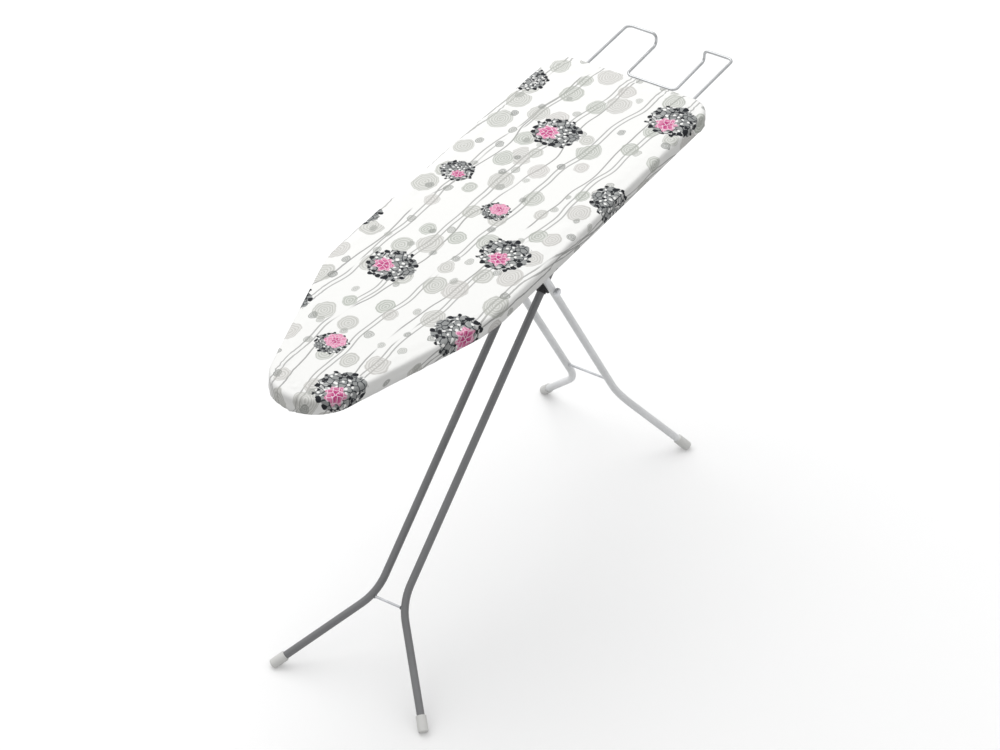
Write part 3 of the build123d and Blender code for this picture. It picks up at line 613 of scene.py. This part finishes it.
def settle_cloth(piece, former, held):
    """Pull the cloth tight over the former with its held points fixed, then remove the former."""
    start = [v.co.copy() for v in piece.data.vertices]
    shell = BVHTree.FromObject(former, bpy.context.evaluated_depsgraph_get())
    group = piece.vertex_groups.new(name="held")
    group.add(list(held), 1.0, "REPLACE")
    former.modifiers.new("collision", "COLLISION")
    former.collision.thickness_outer = COLLISION_GAP
    former.collision.cloth_friction = 4.0
    cloth = piece.modifiers.new("cloth", "CLOTH")
    cloth.settings.quality = 6
    cloth.settings.mass = 0.15
    cloth.settings.tension_stiffness = 25
    cloth.settings.compression_stiffness = 25
    cloth.settings.bending_stiffness = 0.6
    cloth.settings.vertex_group_mass = "held"
    cloth.settings.shrink_min = 0.008
    cloth.settings.effector_weights.gravity = 0.3
    cloth.collision_settings.distance_min = COLLISION_GAP
    cloth.collision_settings.use_self_collision = False
    cloth.point_cache.frame_end = CLOTH_FRAMES
    for frame_number in range(1, CLOTH_FRAMES + 1):
        scene.frame_set(frame_number)
    settled = piece.evaluated_get(bpy.context.evaluated_depsgraph_get())
    places = [v.co.copy() for v in settled.data.vertices]
    piece.modifiers.remove(cloth)
    scene.frame_set(1)
    for vertex, before, after in zip(piece.data.vertices, start, places):
        move = after - before
        at = before + move * min(1.0, MOST_MOVE / max(move.length, 1e-9))
        near, normal, _, _ = shell.find_nearest(at)
        if vertex.index not in held and (at - near).dot(normal) < CLOTH_CLEAR:
            at = near + normal * CLOTH_CLEAR
        vertex.co = at
    piece.data.update()
    bpy.data.objects.remove(former)


def make_former():
    """The pad and rim under the cloth, as one shape that the cloth is pulled over."""
    outline, vertices, print_at = ring_stack(FORMER_RINGS, 0.0)
    faces = ring_faces(len(FORMER_RINGS), len(outline))
    cap_faces(vertices, faces, print_at, len(outline), COARSE_STEP, 0.0)
    mesh = bpy.data.meshes.new("former")
    mesh.from_pydata(vertices, [], faces)
    former = bpy.data.objects.new("former", mesh)
    scene.collection.objects.link(former)
    return former


def make_cover(material):
    """The printed cover: one sheet from the turned-in hem to the top."""
    outline, vertices, print_at = ring_stack(COVER_RINGS, 1.0)
    count = len(outline)
    faces = ring_faces(len(COVER_RINGS), count)
    cap_faces(vertices, faces, print_at, count, GRID_STEP, COVER_LIFT)
    cover = new_piece("cover_cloth", vertices, faces, "board", "cover_cotton", material)
    layer = cover.data.uv_layers.new(name="print")
    for corner in cover.data.loops:
        layer.data[corner.index].uv = print_at[corner.vertex_index][:2]
    settle_cloth(cover, make_former(), range(HELD_RINGS * count))
    thick = cover.modifiers.new("thickness", "SOLIDIFY")
    thick.thickness = CLOTH_THICK
    thick.offset = -1.0
    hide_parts("cover")
    skirt = sum(hypot(a[0] - b[0], a[1] - b[1]) for a, b in zip(COVER_RINGS, COVER_RINGS[1:])) * MM
    skirt -= COVER_RINGS[-1][0] * MM


def make_pad(material):
    """The felt under the cover: a soft slab with a rounded, slightly uneven upper edge."""
    low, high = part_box("felt_pad")
    base = (low.z - HEM_Z) / MM
    top = (high.z - HEM_Z) / MM
    rings = [(16.0, base), (4.0, base), (2.6, base + 0.4), (2.7, base + 1.6), (3.8, base + 3.0),
             (5.8, top - 1.6), (8.5, top - 0.8), (12.0, top - 0.4), (18.0, top - 0.3)]
    outline, vertices, print_at = ring_stack(rings, 0.0)
    count = len(outline)
    faces = ring_faces(len(rings), count)
    cap_faces(vertices, faces, print_at, count, GRID_STEP, PAD_LIFT)
    bottom_start = len(vertices)
    under = [Vector(v[:2]) for v in vertices[:count]]
    found, triangles = fill_inside(under, COARSE_STEP)
    index = list(range(count)) + list(range(bottom_start, bottom_start + len(found) - count))
    vertices += [(p.x, p.y, low.z) for p in found[count:]]
    faces += [tuple(index[k] for k in reversed(triangle)) for triangle in triangles]
    pad = new_piece("felt_pad_soft", vertices, faces, "board", "felt", material)
    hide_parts("felt_pad")


def tube_mesh(points, radius, sides=10, closed=False):
    """Vertices and faces of a round tube along points."""
    vertices, faces = [], []
    count = len(points)
    for i, point in enumerate(points):
        ahead = points[(i + 1) % count] if closed or i + 1 < count else point
        behind = points[i - 1] if closed or i else point
        along = (ahead - behind).normalized()
        side = along.orthogonal().normalized() if i == 0 else (side - along * side.dot(along)).normalized()
        up = along.cross(side)
        for k in range(sides):
            angle = 2 * pi * k / sides
            vertices.append(point + radius * (side * cos(angle) + up * sin(angle)))
    for i in range(count if closed else count - 1):
        j = (i + 1) % count
        for k in range(sides):
            m = (k + 1) % sides
            faces.append((i * sides + k, i * sides + m, j * sides + m, j * sides + k))
    if not closed:
        faces.append(tuple(reversed(range(sides))))
        faces.append(tuple(range((count - 1) * sides, count * sides)))
    return vertices, faces


def joined(parts):
    """One vertex and face list from several."""
    vertices, faces = [], []
    for more_vertices, more_faces in parts:
        start = len(vertices)
        vertices += more_vertices
        faces += [tuple(start + i for i in face) for face in more_faces]
    return vertices, faces


# in mm: radius and stand-off of each loop of an eyelet, then inset and height over the hem of each row
EYELET_LOOPS = [(4.6, 0.5), (5.3, 0.2)]
STITCH_ROWS = [(13.2, 0.95), (10.6, 0.55)]
EYELET_ZIGZAG, STITCH_HALF, STITCH_SAG = 0.18, 1.45, 0.30
EYELET_POINTS = 32
EYELET_THREAD, STITCH_THREAD = 0.5 * MM, 0.28 * MM      # radii
STITCH_PITCH = 4.2 * MM


def make_stitches(material):
    """Two rows of thread under the turned hem, and a stitched eyelet round each rod of the rest."""
    parts = []
    for side in (1, -1):
        for radius, out in EYELET_LOOPS:
            eyelet = []
            for i in range(EYELET_POINTS):
                angle = 2 * pi * i / EYELET_POINTS
                reach = (radius + EYELET_ZIGZAG * (i % 2)) * MM
                eyelet.append(Vector((TAIL_X + out * MM, side * ROD_Y + reach * cos(angle),
                                      ROD_Z + reach * sin(angle))))
            parts.append(tube_mesh(eyelet, EYELET_THREAD, sides=8, closed=True))
    outline = board_outline(STITCH_PITCH)
    for inset, low in STITCH_ROWS:
        for point, normal in outline:
            along = Vector((-normal.y, normal.x))
            middle = point - normal * inset * MM
            run = []
            for t in (-1.0, -0.55, 0.0, 0.55, 1.0):
                at = middle + along * t * STITCH_HALF * MM
                run.append(Vector((at.x, at.y, HEM_Z + (low - STITCH_SAG * (1 - t * t)) * MM)))
            parts.append(tube_mesh(run, STITCH_THREAD, sides=5))
    new_piece("cover_stitches", *joined(parts), "board", "cover_cotton", material)


def make_spring(material):
    """The lever's return spring: close turns of wire round the rod."""
    low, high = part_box("lever_spring")
    middle = (low + high) / 2
    wire = 0.65 * MM
    reach = (high.x - low.x) / 2 - wire
    turns, steps = 7.5, 22
    first, last = low.y + wire, high.y - wire
    coil = []
    for i in range(int(turns * steps) + 1):
        angle = 2 * pi * i / steps
        y = first + (last - first) * i / (turns * steps)
        coil.append(Vector((middle.x + reach * cos(angle), y, middle.z + reach * sin(angle))))
    spring = new_piece("lever_spring_coil", *tube_mesh(coil, wire, sides=8), "board", "zinc", material)
    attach(spring, "height_lever")
    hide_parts("lever_spring")


WELD_POINTS, WELD_RIPPLES = 28, 9
WELD_RADIUS, WELD_REACH, WELD_INSET = 1.1 * MM, 0.3 * MM, 1.6 * MM


def make_welds(brace, body, slot_name, material):
    """A rippled bead of weld round each end of a brace."""
    low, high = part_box(brace)
    middle = (low + high) / 2
    radius = (high.x - low.x) / 2
    parts = []
    for end in (low.y, high.y):
        inward = 1 if end < 0 else -1
        bead = []
        for i in range(WELD_POINTS):
            angle = 2 * pi * i / WELD_POINTS
            swell = 1 + 0.16 * sin(angle * WELD_RIPPLES) + 0.10 * noise.noise(Vector((angle, end * 90, 0)))
            reach = radius + WELD_REACH
            bead.append(Vector((middle.x + reach * cos(angle) * swell, end + inward * WELD_INSET,
                                middle.z + reach * sin(angle) * swell)))
        parts.append(tube_mesh(bead, WELD_RADIUS, closed=True))
    new_piece(brace + "_welds", *joined(parts), body, slot_name, material)


def smooth_nodes(nodes, sharp_angle):
    """Smooth shading on the CAD nodes, with edges kept sharp above an angle."""
    for node in nodes:
        mesh = node.data
        mesh.polygons.foreach_set("use_smooth", [True] * len(mesh.polygons))
        mesh.set_sharp_from_angle(angle=sharp_angle)


# ================================================================================================
# Build
# ================================================================================================
add_camera()
add_studio()

SLOT_MATERIALS = {
    "cover_cotton": printed_cotton(),
    "felt": felt(),
    "sheet_paint": powder_coat("sheet_paint", (0.66, 0.67, 0.68), 0.38),
    # dark_paint and silver_paint are two copies of one grey powder coat: dark_paint is painted shade for
    # the inner legs, silver_paint is painted highlight for the outer legs.
    "dark_paint": powder_coat("dark_paint", (0.22, 0.222, 0.228), 0.34, (0.30, 0.30, 0.31)),
    "silver_paint": powder_coat("silver_paint", (0.88, 0.89, 0.90), 0.33, (0.72, 0.72, 0.73)),
    "bright_wire": plated("bright_wire", (0.56, 0.57, 0.58), 0.22, 0.12),
    "zinc": plated("zinc", (0.62, 0.63, 0.65), 0.30, 0.22),
    "black_plastic": moulded("black_plastic", (0.022, 0.022, 0.024), 0.42, 0.00006),
    "foot_plastic": moulded("foot_plastic", (0.74, 0.74, 0.72), 0.40, 0.00005),
    "nylon": moulded("nylon", (0.78, 0.78, 0.74), 0.35, 0.00004),
}
node_slots = {part["node"]: part["material_slot"] for part in frame["record"]["subparts"]}
for name, node in NODES.items():
    node.data.materials.clear()
    node.data.materials.append(SLOT_MATERIALS[node_slots[name]])

smooth_nodes(NODES.values(), sharp_angle=radians(32))
make_pad(SLOT_MATERIALS["felt"])
make_cover(SLOT_MATERIALS["cover_cotton"])
make_stitches(moulded("thread", (0.80, 0.80, 0.78), 0.7, 0.0001))
make_spring(SLOT_MATERIALS["zinc"])
# The weld beads take their legs' copies of the one grey paint: painted shade on the inner legs, painted
# highlight on the outer legs.
make_welds("inner_brace", "inner_legs", "dark_paint", SLOT_MATERIALS["dark_paint"])
make_welds("outer_brace", "outer_legs", "silver_paint", SLOT_MATERIALS["silver_paint"])
